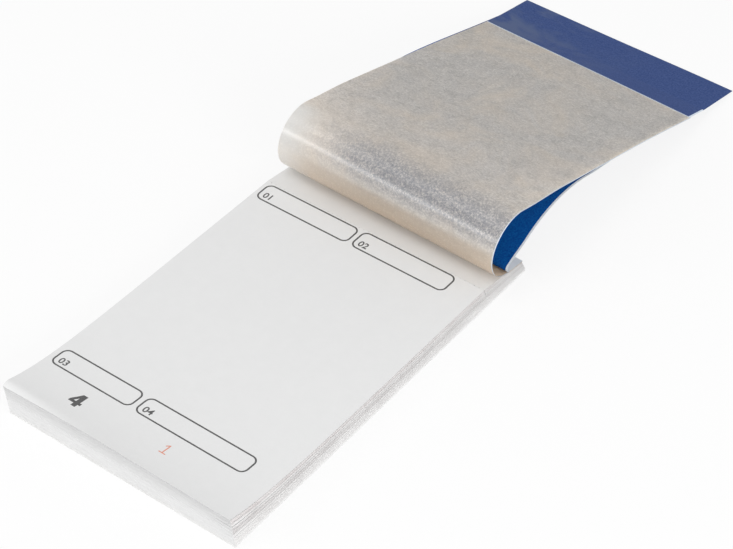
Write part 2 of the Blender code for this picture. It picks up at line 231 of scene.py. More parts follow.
class Nodes:
    """Short calls for building one material's node tree."""

    def __init__(self, name):
        self.material = bpy.data.materials.new(name)
        self.material.use_nodes = True
        self.tree = self.material.node_tree
        self.shader = self.tree.nodes["Principled BSDF"]

    def add(self, kind, **settings):
        node = self.tree.nodes.new(kind)
        for name, value in settings.items():
            setattr(node, name, value)
        return node

    def link(self, source, target):
        self.tree.links.new(source, target)

    def set(self, **values):
        for name, value in values.items():
            self.shader.inputs[name.replace("_", " ")].default_value = value

    def coordinates(self, scale):
        """Place on the object, stretched by a scale for each axis, in units of one metre."""
        place = self.add("ShaderNodeTexCoord")
        mapping = self.add("ShaderNodeMapping")
        mapping.inputs["Scale"].default_value = scale
        self.link(place.outputs["Object"], mapping.inputs["Vector"])
        return mapping.outputs["Vector"]

    def noise(self, scale, detail=4.0, roughness=0.6, distortion=0.0):
        node = self.add("ShaderNodeTexNoise")
        self.link(self.coordinates(scale), node.inputs["Vector"])
        node.inputs["Scale"].default_value = 1.0
        node.inputs["Detail"].default_value = detail
        node.inputs["Roughness"].default_value = roughness
        node.inputs["Distortion"].default_value = distortion
        return node.outputs["Fac"]

    def ramp(self, value, stops):
        node = self.add("ShaderNodeValToRGB")
        while len(node.color_ramp.elements) < len(stops):
            node.color_ramp.elements.new(0.5)
        for element, (position, colour) in zip(node.color_ramp.elements, stops):
            element.position = position
            element.color = (*colour, 1.0)
        self.link(value, node.inputs["Fac"])
        return node.outputs["Color"]

    def mix(self, factor, first, second, mode="MIX"):
        """Mix of two colours; the numbers are the colour sockets of the node."""
        node = self.add("ShaderNodeMix", data_type="RGBA", blend_type=mode)
        for socket, value in ((node.inputs[0], factor), (node.inputs[6], first), (node.inputs[7], second)):
            if hasattr(value, "links"):
                self.link(value, socket)
            elif isinstance(value, tuple):
                socket.default_value = (*value, 1.0)
            else:
                socket.default_value = value
        return node.outputs[2]

    def math(self, operation, first, second):
        node = self.add("ShaderNodeMath", operation=operation)
        for socket, value in zip(node.inputs, (first, second)):
            if hasattr(value, "links"):
                self.link(value, socket)
            else:
                socket.default_value = value
        return node.outputs[0]

    def share(self, value, low, high):
        """0 at the low value and 1 at the high one, smooth between them."""
        node = self.add("ShaderNodeMapRange", interpolation_type="SMOOTHSTEP")
        node.inputs["From Min"].default_value = low
        node.inputs["From Max"].default_value = high
        self.link(value, node.inputs["Value"])
        return node.outputs["Result"]

    def place(self):
        """The three coordinates of a place on the object, in metres."""
        split = self.add("ShaderNodeSeparateXYZ")
        self.link(self.add("ShaderNodeTexCoord").outputs["Object"], split.inputs[0])
        return split.outputs

    def colour(self, value):
        self.link(value, self.shader.inputs["Base Color"])

    def roughness(self, value, low, high):
        node = self.add("ShaderNodeMapRange")
        node.inputs["To Min"].default_value = low
        node.inputs["To Max"].default_value = high
        self.link(value, node.inputs["Value"])
        self.link(node.outputs["Result"], self.shader.inputs["Roughness"])

    def bump(self, value, strength, distance):
        node = self.add("ShaderNodeBump")
        node.inputs["Strength"].default_value = strength
        node.inputs["Distance"].default_value = distance
        self.link(value, node.inputs["Height"])
        self.link(node.outputs["Normal"], self.shader.inputs["Normal"])

    def mix_shaders(self, factor, second):
        """A share of a second shader in the material."""
        mixer = self.add("ShaderNodeMixShader")
        if hasattr(factor, "links"):
            self.link(factor, mixer.inputs["Fac"])
        else:
            mixer.inputs["Fac"].default_value = factor
        self.link(self.shader.outputs[0], mixer.inputs[1])
        self.link(second.outputs[0], mixer.inputs[2])
        self.link(mixer.outputs[0], self.tree.nodes["Material Output"].inputs["Surface"])


def paper_material():
    """Uncoated white paper: faint cloudy formation and a fine tooth."""
    nodes = Nodes("white_paper_face")
    cloud = nodes.noise((220, 220, 220), 3.0)
    fibre = nodes.noise((2600, 1500, 2600), 5.0, 0.7)
    base = nodes.ramp(cloud, [(0.3, (0.768, 0.770, 0.770)), (0.7, (0.782, 0.784, 0.784))])
    tooth = nodes.ramp(fibre, [(0.3, (0.72, 0.72, 0.71)), (0.7, (0.88, 0.88, 0.88))])
    nodes.colour(nodes.mix(0.06, base, tooth))
    nodes.roughness(fibre, 0.72, 0.9)
    nodes.bump(fibre, 0.12, 0.00003)
    nodes.set(Specular_IOR_Level=0.25)
    return nodes.material


def paper_foot_material():
    """Foot of the stack: close leaves, with painted shade that makes it a little darker under the top ones.
    """
    nodes = Nodes("foot_edge")
    streak = nodes.noise((160, 160, 2200), 3.0, 0.6)
    _, _, z = nodes.place()
    low = nodes.ramp(streak, [(0.3, (0.72, 0.72, 0.72)), (0.7, (0.79, 0.79, 0.79))])
    high = nodes.ramp(streak, [(0.3, (0.575, 0.575, 0.575)), (0.7, (0.66, 0.66, 0.66))])
    # Painted shade: the foot gets darker towards its top, under the top leaves
    nodes.colour(nodes.mix(nodes.share(z, *FOOT_SHADE_HEIGHT), low, high))
    nodes.roughness(streak, 0.8, 0.95)
    nodes.bump(streak, 0.1, 0.00003)
    nodes.set(Specular_IOR_Level=0.15)
    return nodes.material


def paper_edge_material(name, dark, pale):
    """Cut edges of many leaves: soft streaks that run along the edge."""
    nodes = Nodes(name)
    streak = nodes.noise((110, 110, 160), 3.0, 0.6)
    patch = nodes.noise((45, 45, 90), 3.0)
    fine = nodes.ramp(streak, [(0.35, dark), (0.6, pale)])
    patchy = nodes.ramp(patch, [(0.4, (0, 0, 0)), (0.75, (0.4, 0.4, 0.4))])
    nodes.colour(nodes.mix(patchy, fine, dark))
    nodes.roughness(streak, 0.8, 0.95)
    nodes.bump(streak, 0.05, 0.00004)
    nodes.set(Specular_IOR_Level=0.15)
    return nodes.material


def around_loop(nodes):
    """Place across the guard sheet, and angle round its loop: 0 at the front, pi / 2 at the top."""
    x, y, z = nodes.place()
    straight_y = nodes.math("ADD", y, nodes.math("MULTIPLY", x, tan(FOLD_SKEW)))
    centre_y = GUARD_PIVOT.y + GUARD_LOOP_RADIUS * sin(HEAD_SLOPE)
    centre_z = GUARD_PIVOT.z + GUARD_LOOP_RADIUS * cos(HEAD_SLOPE)
    up = nodes.math("SUBTRACT", z, centre_z)
    angle = nodes.math("ARCTAN2", up, nodes.math("SUBTRACT", centre_y, straight_y))
    turned = nodes.math("FLOORED_MODULO", nodes.math("ADD", angle, pi / 2), 2 * pi)
    return x, nodes.math("SUBTRACT", turned, pi / 2)


def tissue_body(nodes, fleck, fibre):
    """Mottled and flecked colour of the tissue, matted with fibres."""
    mottle = nodes.noise((230, 230, 230), 6.0, 0.7, 0.8)
    mottles = [(0.34, (0.60, 0.60, 0.595)), (0.5, (0.80, 0.80, 0.80)), (0.64, (0.90, 0.90, 0.90))]
    flecks = nodes.ramp(fleck, [(0.36, (0.50, 0.49, 0.48)), (0.58, (1.0, 1.0, 0.99))])
    fibres = nodes.ramp(fibre, [(0.36, (0.60, 0.55, 0.48)), (0.60, (1.0, 0.99, 0.97))])
    flecked = nodes.mix(0.42, nodes.ramp(mottle, mottles), flecks)
    return nodes.mix(0.22, flecked, fibres)


def tissue_stains_and_painted_light(nodes, body, x, around, fleck):
    """Tissue colour: tan stains, painted warm light and shade on the low front, painted shade of the carbon
    behind, painted light on the left part.
    """
    stain = nodes.noise((38, 38, 38), 3.0, 0.6, 0.8)
    stains = nodes.math("MULTIPLY", nodes.share(stain, 0.40, 0.80), 0.45)
    # Painted warm light on the low front of the loop, where light passes through the tissue
    front_warm_light = nodes.math("MULTIPLY", nodes.share(around, *WARM_LIGHT_AROUND), 0.8)
    stains_and_warm_light = nodes.mix(nodes.math("MAXIMUM", stains, front_warm_light), body, (1.0, 0.92, 0.81))
    # Painted shade on the low front of the loop
    shaded = nodes.mix(nodes.share(around, *SHADED_AROUND), stains_and_warm_light, (0.76, 0.70, 0.63), "MULTIPLY")
    # Painted shade of the blue carbon seen through the tissue, flecked
    on_top = nodes.math(
        "MULTIPLY", nodes.share(around, *CARBON_SHADE_FRONT_AROUND), nodes.share(around, *CARBON_SHADE_BACK_AROUND))
    carbon_shade = nodes.math("MULTIPLY", on_top, nodes.share(x, *CARBON_SHADE_ACROSS))
    speckle = nodes.math("ADD", nodes.share(fleck, 0.70, 0.30), 0.15)
    carbon_shaded = nodes.mix(nodes.math("MULTIPLY", carbon_shade, speckle), shaded, (0.39, 0.40, 0.445))
    # Painted light that makes the left part paler
    left_light = nodes.math(
        "MULTIPLY", nodes.share(x, *LEFT_LIGHT_ACROSS), nodes.share(around, *LEFT_LIGHT_AROUND))
    return nodes.mix(nodes.math("MULTIPLY", left_light, 0.35), carbon_shaded, (1.0, 0.965, 0.92))


def tissue_material():
    """Thin pale tissue: mottled, flecked and stained, with painted light and shade, a slight gloss and
    light passing through.
    """
    nodes = Nodes("tissue_face")
    x, around = around_loop(nodes)
    fleck = nodes.noise((1300, 1300, 1300), 5.0, 0.75, 0.5)
    fibre = nodes.noise((420, 1500, 1500), 5.0, 0.7, 1.5)
    stains_and_painted_light = tissue_stains_and_painted_light(nodes, tissue_body(nodes, fleck, fibre), x, around, fleck)
    # Painted light that makes the left end of the loop paler
    left_end_light = nodes.math(
        "MULTIPLY", nodes.share(x, *LEFT_END_LIGHT_ACROSS), nodes.share(around, *LEFT_END_LIGHT_AROUND))
    whole = nodes.mix(left_end_light, stains_and_painted_light, (0.88, 0.88, 0.87))
    nodes.colour(whole)
    nodes.roughness(fleck, 0.20, 0.33)
    nodes.bump(fibre, 0.10, 0.00004)
    nodes.set(Specular_IOR_Level=1.0, IOR=1.6)
    warm = nodes.mix(left_end_light, (1.0, 0.93, 0.84), (1.0, 0.98, 0.95))
    passed = nodes.mix(1.0, whole, warm, "MULTIPLY")
    clear_part = nodes.math("MULTIPLY", nodes.share(around, *CLEAR_AROUND), 0.8)
    through = nodes.add("ShaderNodeBsdfTranslucent")
    nodes.link(nodes.mix(clear_part, passed, (1.0, 0.95, 0.88)), through.inputs["Color"])
    nodes.mix_shaders(TISSUE_THROUGH, through)
    return nodes.material


def pale_edge_highlight_material():
    """Pale cut margin of the loose sheets: painted highlight along their edges, on the carbon partly its
    paler paper core.
    """
    nodes = Nodes("pale_edge_highlight")
    fibre = nodes.noise((900, 900, 900), 4.0, 0.7)
    nodes.colour(nodes.ramp(fibre, [(0.3, (0.60, 0.70, 0.82)), (0.7, (0.80, 0.87, 0.95))]))
    nodes.roughness(fibre, 0.6, 0.8)
    nodes.bump(fibre, 0.1, 0.00003)
    return nodes.material


def carbon_material():
    """Blue waxy coating, with painted sheen greying the band at the far end and a painted grey reflection
    towards its left.
    """
    nodes = Nodes("carbon_face")
    x, y, _ = nodes.place()
    reflection_noise = nodes.noise((45, 70, 45), 4.0, 0.65, 0.6)
    grain = nodes.noise((1500, 1500, 1500), 5.0, 0.7)
    blues = [(0.34, (0.0, 0.045, 0.235)), (0.5, (0.0, 0.071, 0.31)), (0.68, (0.003, 0.098, 0.38))]
    sheen_blues = [
        (0.34, (0.027, 0.058, 0.188)), (0.5, (0.042, 0.077, 0.222)), (0.68, (0.061, 0.101, 0.266))]
    # Painted sheen: the far band greyer and duller
    sheen_band = nodes.share(y, *SHEEN_ALONG)
    blues_with_sheen = nodes.mix(sheen_band, nodes.ramp(grain, blues), nodes.ramp(grain, sheen_blues))
    # Painted grey reflection towards the left of the far band
    left = nodes.math("MULTIPLY", nodes.share(reflection_noise, 0.42, 0.66), nodes.share(x, *REFLECTION_ACROSS))
    nodes.colour(nodes.mix(nodes.math("MULTIPLY", left, sheen_band), blues_with_sheen, (0.085, 0.12, 0.235)))
    nodes.roughness(grain, 0.45, 0.6)
    nodes.bump(grain, 0.10, 0.00004)
    nodes.set(Specular_IOR_Level=0.08)
    return nodes.material


def carbon_back_material():
    """Pale back of the carbon sheet, faintly blue where the coating shows through."""
    nodes = Nodes("carbon_back")
    cloud = nodes.noise((160, 160, 160), 4.0, 0.6)
    nodes.colour(nodes.ramp(cloud, [(0.3, (0.74, 0.78, 0.84)), (0.7, (0.82, 0.85, 0.89))]))
    nodes.roughness(cloud, 0.6, 0.75)
    nodes.bump(cloud, 0.05, 0.00003)
    nodes.set(Specular_IOR_Level=0.3)
    return nodes.material


def card_material():
    """Dense white-lined card with a grey core."""
    nodes = Nodes("white_card_face")
    cloud = nodes.noise((300, 300, 300), 4.0)
    fleck = nodes.noise((2500, 2500, 2500), 3.0)
    base = nodes.ramp(cloud, [(0.3, (0.74, 0.735, 0.73)), (0.7, (0.80, 0.80, 0.795))])
    flecks = nodes.ramp(fleck, [(0.35, (0.62, 0.615, 0.61)), (0.6, (0.80, 0.80, 0.79))])
    nodes.colour(nodes.mix(0.2, base, flecks))
    nodes.roughness(fleck, 0.75, 0.9)
    nodes.bump(fleck, 0.15, 0.00004)
    return nodes.material


def steel_material():
    nodes = Nodes("steel_wire_face")
    drawn = nodes.noise((300, 4000, 4000), 3.0)
    nodes.colour(nodes.ramp(drawn, [(0.3, (0.50, 0.50, 0.51)), (0.7, (0.68, 0.68, 0.67))]))
    nodes.roughness(drawn, 0.22, 0.38)
    nodes.bump(drawn, 0.1, 0.00002)
    nodes.set(Metallic=1.0)
    return nodes.material


def ink_material(name, thin, full):
    """Printed ink, a little uneven where the paper's tooth shows through."""
    nodes = Nodes(name)
    tooth = nodes.noise((3000, 3000, 3000), 4.0, 0.7)
    nodes.colour(nodes.ramp(tooth, [(0.3, full), (0.75, thin)]))
    nodes.roughness(tooth, 0.5, 0.7)
    nodes.bump(tooth, 0.1, 0.00002)
    return nodes.material


# Meshes

def grid_normals(grid):
    """Smooth normals of a grid, on the side that sees its rows run up and its columns run right."""
    rows = len(grid)
    columns = len(grid[0])
    normals = []
    for i in range(rows):
        row = []
        for j in range(columns):
            along = grid[min(i + 1, rows - 1)][j] - grid[max(i - 1, 0)][j]
            across = grid[i][min(j + 1, columns - 1)] - grid[i][max(j - 1, 0)]
            row.append(across.cross(along).normalized())
        normals.append(row)
    return normals


class Shell:
    """Closed thin solid between two grids of points.

    Each face has a kind: 0 for the low side, 1 for the high side, and others for rim, foot and margins.
    """

    def __init__(self, low, high, normals=None, kept=None, rim=2, foot=2, margin=None, end_margin=None):
        rows = len(low)
        columns = len(low[0])
        count = rows * columns
        flat_normals = [normal for row in normals or grid_normals(high) for normal in row]
        self.points = [point for grid in (low, high) for row in grid for point in row]
        self.faces = []
        self.kinds = []
        self.corner_normals = []
        border = {}
        for i in range(rows - 1):
            for j in range(columns - 1):
                if kept and not kept(i, j):
                    continue
                first = i * columns + j
                corners = [first, first + 1, first + columns + 1, first + columns]
                normals_here = [flat_normals[corner] for corner in corners]
                pale = end_margin if end_margin and i == rows - 2 else margin if j == 0 else None
                self.add([corner + count for corner in corners], pale or 1, normals_here)
                self.add(corners[::-1], pale or 0, [-normal for normal in normals_here[::-1]])
                for start, end in zip(corners, corners[1:] + corners[:1]):
                    if (end, start) in border:
                        del border[(end, start)]
                    else:
                        border[(start, end)] = True
        for start, end in border:
            along = self.points[end] - self.points[start]
            across = along.cross(self.points[start + count] - self.points[start])
            kind = foot if max(start, end) < columns else rim
            self.add([end + count, start + count, start, end], kind, [across.normalized()] * 4)

    def add(self, corners, kind, normals):
        self.faces.append(corners)
        self.kinds.append(kind)
        self.corner_normals += normals


def make_piece(name, shells, materials):
    """One object from one or more shells, with a material for each kind of face."""
    points = []
    faces = []
    kinds = []
    normals = []
    for shell in shells:
        used = sorted({index for face in shell.faces for index in face})
        order = {index: len(points) + number for number, index in enumerate(used)}
        points += [shell.points[index] for index in used]
        faces += [[order[index] for index in face] for face in shell.faces]
        kinds += shell.kinds
        normals += shell.corner_normals
    mesh = bpy.data.meshes.new(name)
    mesh.from_pydata(points, [], faces)
    for material in materials:
        mesh.materials.append(material)
    for polygon, kind in zip(mesh.polygons, kinds):
        polygon.material_index = kind
        polygon.use_smooth = True
    mesh.normals_split_custom_set(normals)
    return link_object(name, mesh)


def link_object(name, mesh):
    obj = bpy.data.objects.new(name, mesh)
    bpy.context.scene.collection.objects.link(obj)
    return obj


# Leaves

def uneven(index, row):
    """A fixed small number between -1 and 1 for a leaf, from one row of the noise."""
    return noise.noise(Vector((index * UNEVEN_STEP, row, 0.5)))


def leaf_pitch(x, y):
    """Height from one leaf to the next."""
    if y >= PERFORATION:
        share = (y - PERFORATION) / (HEAD - PERFORATION)
        return PITCH_AT_PERFORATION + (PITCH_AT_HEAD - PITCH_AT_PERFORATION) * share
    share = (PERFORATION - y) / (PERFORATION - FOOT)
    curl = CURL_STEADY * share + (1 - CURL_STEADY) * share ** CURL_POWER
    most = CURL_MIDDLE - CURL_TO_LEFT * x / HALF_WIDTH
    return PITCH_AT_PERFORATION + (PITCH_AT_FOOT - PITCH_AT_PERFORATION) * curl * most


def leaf_height(index, x, y):
    """Height of a leaf's underside; the upper leaves roll down a little at the left of the foot."""
    near_foot = max(0.0, 1 - (y - FOOT) / ROLL_LENGTH)
    near_left = min(1.0, max(0.0, -x / HALF_WIDTH))
    roll = ROLL_DROP * near_foot ** 2 * near_left ** 2 * (index / LEAF_COUNT) ** 3
    return BOARD_THICKNESS + LEAF_CLEARANCE + index * leaf_pitch(x, y) - roll


def leaf_top(index, x, y):
    """Height of a leaf's upper side: the top leaf is as thin as paper, the others nearly meet the next."""
    bottom = leaf_height(index, x, y)
    fill = 0.0 if index == TOP_LEAF else 1 - leaf_gap(index, x)
    return bottom + max(LEAF_THICKNESS, fill * (leaf_height(index + 1, x, y) - bottom))


def leaf_middle(index):
    return -FAN_PER_LEAF * index + uneven(index, UNEVEN_SIDE) * LEAF_UNEVEN


def page_height(index, rows, x, y):
    """Height of a leaf's drawn upper side, which is straight from row to row."""
    after = next(number for number, row in enumerate(rows) if row >= y - ROUNDING)
    before = max(after - 1, 0)
    share = (y - rows[before]) / (rows[after] - rows[before]) if after else 0.0
    first, second = [leaf_top(index, x, rows[number]) for number in (before, after)]
    return first + (second - first) * share


def leaf_gap(index, x):
    """Share of the pitch that stays open above a leaf: some upper leaves stand apart towards the right."""
    least = GAP_UNDER_PAGE if index == TOP_LEAF - 1 else GAP_AT_LEFT
    if index < GAPS_FROM_LEAF or index % LEAVES_PER_GAP:
        return least
    right = min(1.0, max(0.0, (x - GAPS_START) / (GAPS_FULL - GAPS_START)))
    return least + (GAP_AT_RIGHT - least) * right * (1 + uneven(index, UNEVEN_GAP))


def leaf_shell(index, rows, columns, kept=None):
    """One curled leaf, as a solid between its underside and its upper side."""
    sides = [leaf_middle(index) + x for x in columns]
    low = [[Vector((x, y, leaf_height(index, x, y))) for x in sides] for y in rows]
    high = [[Vector((x, y, leaf_top(index, x, y))) for x in sides] for y in rows]
    return Shell(low, high, kept=kept, rim=leaf_rim(index), foot=FOOT_KIND)


def leaf_rim(index):
    """Kind of the leaf's cut edge: white, apart from a pinkish and a grey band of painted shade among the
    upper leaves.
    """
    return next(kind for first, kind in EDGE_BANDS if index >= first)


def spread(start, end, steps, power=1.0):
    """Values from start to end, closer together near the start when the power is above 1."""
    return [start + (end - start) * (step / steps) ** power for step in range(steps + 1)]


def tooth_columns():
    """Both sides of each tooth of the perforation, across the leaf."""
    pitch = 2 * HALF_WIDTH / TEETH
    columns = []
    for tooth in range(TEETH):
        left = tooth * pitch - HALF_WIDTH
        columns += [left, left + TOOTH_SHARE * pitch]
    return columns + [HALF_WIDTH]


def leaf_foot(index):
    return FOOT if index == TOP_LEAF else FOOT + (1 + uneven(index, UNEVEN_FOOT)) * LEAF_UNEVEN


def leaf_rows(index, end):
    """Rows from a leaf's own foot up to an end; the leaves share all but the first, so that they nest."""
    steps = PAGE_ROWS if index == TOP_LEAF else LEAF_ROWS
    return [leaf_foot(index)] + spread(FOOT, end, steps, ROW_POWER)[1:]


def slip_rows(index):
    return leaf_rows(index, PERFORATION - TOOTH_LENGTH) + [PERFORATION]


def add_leaf_piece(name, shells, materials, body, node):
    piece = make_piece(name, shells, materials)
    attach(piece, body)
    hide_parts(node)


def make_single_leaves(materials):
    """Twelve slips with a toothed edge at the perforation, and their stubs."""
    columns = tooth_columns()
    stub_rows = spread(PERFORATION, HEAD, STUB_ROWS)
    stub_columns = spread(-HALF_WIDTH, HALF_WIDTH, BUNDLE_COLUMNS)
    for number in range(1, SINGLE_LEAVES + 1):
        index = LEAF_COUNT - number
        rows = slip_rows(index)
        slip = leaf_shell(index, rows, columns, lambda i, j: i < len(rows) - 2 or j % 2 == 0)
        name = f"leaf_{number:02d}"
        add_leaf_piece(f"slip_{number:02d}", [slip], materials, f"{name}_slip", f"{name}_slip")
        stub = leaf_shell(index, stub_rows, stub_columns)
        add_leaf_piece(f"stub_{number:02d}", [stub], materials, "pad", f"{name}_stub")


def make_bundles(materials):
    columns = spread(-HALF_WIDTH, HALF_WIDTH, BUNDLE_COLUMNS)
    for bundle in range(BUNDLES):
        shells = []
        for number in range(LEAVES_PER_BUNDLE):
            index = bundle * LEAVES_PER_BUNDLE + number
            rows = leaf_rows(index, PERFORATION) + spread(PERFORATION, HEAD, STUB_ROWS)[1:]
            shells.append(leaf_shell(index, rows, columns))
        add_leaf_piece(f"lower_leaves_{bundle + 1}", shells, materials, "pad", f"leaf_bundle_{bundle + 1}")


# Loose sheets

class Sheet:
    """Path of a loose sheet across its bend lines, as links that are straight or follow a round curve.

    The height is how far the sheet stands off this path at a place. The trim is how much it is cut short
    at its left end corner.
    """

    def __init__(self, name, pivot, thickness, links, height, trim):
        self.name = name
        self.pivot = pivot
        self.thickness = thickness
        self.height = height
        self.trim = trim
        self.along_bend = Vector((cos(FOLD_SKEW), -sin(FOLD_SKEW), 0.0))
        self.to_head = Vector((sin(FOLD_SKEW), cos(FOLD_SKEW), 0.0))
        self.links = links
        self.points = [0j]
        self.starts = [0.0]
        for length, angle, _ in links[1:]:
            self.points.append(self.points[-1] + rect(length, angle))
            self.starts.append(self.starts[-1] + length)

    def point(self, link, offset, distance):
        """Point of the sheet in space at a distance along it, on one of its links."""
        length, angle, turn = self.links[link]
        along = distance - self.starts[link - 1] if link else distance
        start = self.points[link - 1] if link else 0j
        if turn:
            heading = angle - turn / 2
            radius = length / (2 * sin(turn / 2))
            now = heading + turn * along / length
            point = start + radius * (rect(1, now) - rect(1, heading)) / 1j
        else:
            now = angle
            point = start + rect(along, angle)
        across = self.along_bend * offset - self.to_head * point.real
        normal = rect(1, now + pi / 2)
        place = self.pivot + across + Vector((0.0, 0.0, point.imag))
        return place - (Vector((0.0, 0.0, normal.imag)) - self.to_head * normal.real) * self.height(place)

    def normal(self, link, offset, distance):
        """Direction in which the sheet's high side faces."""
        along = self.point(link, offset, distance + NEAR) - self.point(link, offset, distance - NEAR)
        across = self.point(link, offset + NEAR, distance) - self.point(link, offset - NEAR, distance)
        return along.cross(across).normalized()

    def corner_on_line(self, side, distance):
        return side * HALF_WIDTH / cos(FOLD_SKEW) + distance * tan(FOLD_SKEW), distance

    def corner_at_edge(self, side, y):
        ahead = y - self.pivot.y
        offset = side * HALF_WIDTH * cos(FOLD_SKEW) - ahead * sin(FOLD_SKEW)
        return offset, -side * HALF_WIDTH * sin(FOLD_SKEW) - ahead * cos(FOLD_SKEW)

    def corners(self, link):
        last = len(self.links) - 1
        if link == 0:
            start = [self.corner_at_edge(side, HEAD) for side in (-1, 1)]
            end = [self.corner_on_line(side, 0.0) for side in (-1, 1)]
            return start, end
        start = [self.corner_on_line(side, self.starts[link - 1]) for side in (-1, 1)]
        if link == last:
            return start, [self.corner_at_edge(-1, FOOT + self.trim), self.corner_at_edge(1, FOOT)]
        return start, [self.corner_on_line(side, self.starts[link]) for side in (-1, 1)]


def between(first, second, share):
    return tuple(a + (b - a) * share for a, b in zip(first, second))


def smooth(value, low, high):
    """0 at the low value and 1 at the high one, smooth between them."""
    share = min(1.0, max(0.0, (value - low) / (high - low)))
    return share * share * (3 - 2 * share)


def flap_height(place, lift_rise):
    """How far a turned-back flap stands off its straight path: a slight lift and cockle."""
    swell = noise.noise(Vector((place.x * COCKLES_ACROSS, place.y * COCKLES_ALONG, 0.0)))
    lift = FLAP_LIFT * smooth(place.y, *lift_rise) * smooth(place.y, *FLAP_LIFT_FALL)
    return lift + FLAP_COCKLE * smooth(place.y, *COCKLE_RISE) * swell


def guard_height(place):
    return flap_height(place, GUARD_LIFT_RISE)


def carbon_height(place):
    """The carbon sheet also sags a little where it bends."""
    sag = CARBON_SAG * smooth(place.z, *CARBON_SAG_RISE) * smooth(place.y, *CARBON_SAG_FALL)
    return flap_height(place, CARBON_LIFT_RISE) - sag


def link_rows(length, steps, end_margin, has_tongue):
    """Rows of a link: each one's share of the link's length, and its share of the sheet's thickness."""
    shares = spread(0.0, 1.0, steps)
    if end_margin:
        shares = spread(0.0, 1.0 - end_margin / length, steps) + [1.0]
    rows = [(share, 1.0) for share in shares]
    if has_tongue:
        rows += [(1.0, TONGUE_THICKNESS), (1.0 + TONGUE_LENGTH / length, TONGUE_THICKNESS)]
    return rows


def link_shell(sheet, link, rows, columns, margin, end_margin):
    """Thin solid of one link; its columns run from right to left."""
    start, end = sheet.corners(link)
    low = []
    high = []
    normals = []
    for share, thickness in rows:
        left = between(start[0], end[0], share)
        right = between(start[1], end[1], share)
        spots = [between(right, left, column) for column in columns]
        points = [sheet.point(link, *spot) for spot in spots]
        facing = [sheet.normal(link, *spot) for spot in spots]
        half = [normal * thickness * sheet.thickness / 2 for normal in facing]
        low.append([point - reach for point, reach in zip(points, half)])
        high.append([point + reach for point, reach in zip(points, half)])
        normals.append(facing)
    return Shell(low, high, normals, margin=margin, end_margin=end_margin)


def make_sheet(sheet, parts, materials, margin, end_margin=0.0, tongues=()):
    """One piece for each link, with a pale margin, partly painted highlight, at the right of most and
    perhaps at the sheet's end.

    The links in tongues each have a thin tongue, which lies hidden inside the next link.
    """
    columns = [0.0] + spread(margin / (2 * HALF_WIDTH), 1.0, SHEET_COLUMNS)
    for link, part in enumerate(parts):
        start, end = sheet.corners(link)
        steps = STRIP_ROWS
        if part == "flap":
            steps = FLAP_ROWS
        elif not sheet.links[link][2]:
            steps = STRIP_ROWS * 2
        end_here = end_margin if part == parts[-1] else 0.0
        rows = link_rows(end[1][1] - start[1][1], steps, end_here, link in tongues)
        pale = MARGIN_KIND if part.rstrip("_0123456789") in MARGIN_PARTS else None
        shell = link_shell(sheet, link, rows, columns, pale, MARGIN_KIND if end_here else None)
        node = f"{sheet.name}_{part}"
        piece = make_piece(f"{node}_paper", [shell], materials)
        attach(piece, "pad" if part == "stub" else node)
        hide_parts(node)


def guard_links():
    turn = pi + FLAP_DROP - HEAD_SLOPE
    bend = turn / GUARD_LOOP_STRIPS
    pitch = 2 * GUARD_LOOP_RADIUS * sin(bend / 2)
    links = [(0.0, HEAD_SLOPE, 0.0)]
    for number in range(GUARD_LOOP_STRIPS):
        links.append((pitch, HEAD_SLOPE + bend * (number + 0.5), bend))
    links.append((FREE_LENGTH, pi + FLAP_DROP, 0.0))
    return links


def carbon_links():
    fold = pi - CARBON_RISE - HEAD_SLOPE
    bend = fold / CARBON_FOLD_STRIPS
    pitch = 2 * CARBON_FOLD_RADIUS * sin(bend / 2)
    links = [(0.0, HEAD_SLOPE, 0.0)]
    for number in range(CARBON_FOLD_STRIPS):
        links.append((pitch, HEAD_SLOPE + bend * (number + 0.5), bend))
    links.append((CARBON_BEND_START - CARBON_FOLD_STRIPS * pitch, pi - CARBON_RISE, 0.0))
    slow = (CARBON_RISE + FLAP_DROP) / CARBON_BEND_STRIPS
    for number in range(CARBON_BEND_STRIPS):
        links.append((CARBON_BEND_PITCH, pi - CARBON_RISE + slow * (number + 0.5), slow))
    flap_start = CARBON_BEND_START + CARBON_BEND_STRIPS * CARBON_BEND_PITCH
    links.append((CARBON_TAIL_START - flap_start, pi + FLAP_DROP, 0.0))
    links.append((FREE_LENGTH, pi + CARBON_TAIL_DROP, 0.0))
    return links


def strip_names(count):
    return [f"strip_{number}" for number in range(1, count + 1)]


def make_guard_sheet(tissue, pale_edge_highlight):
    guard = Sheet("guard_sheet", GUARD_PIVOT, GUARD_THICKNESS, guard_links(), guard_height, GUARD_TRIM)
    parts = ["stub"] + strip_names(GUARD_LOOP_STRIPS) + ["flap"]
    materials = [tissue, tissue, tissue, pale_edge_highlight]
    make_sheet(guard, parts, materials, GUARD_MARGIN, GUARD_END_MARGIN)


def make_carbon_sheet(carbon, carbon_back, pale_edge_highlight):
    blue = Sheet("carbon_sheet", CARBON_PIVOT, CARBON_THICKNESS, carbon_links(), carbon_height, CARBON_TRIM)
    after_fold = CARBON_FOLD_STRIPS + 1
    strips = after_fold + CARBON_BEND_STRIPS
    parts = ["stub"] + strip_names(strips) + ["flap", "tail"]
    materials = [carbon, carbon_back, carbon_back, pale_edge_highlight]
    slow_bend = range(after_fold, strips + 1)
    make_sheet(blue, parts, materials, CARBON_MARGIN, tongues=slow_bend)


# Print

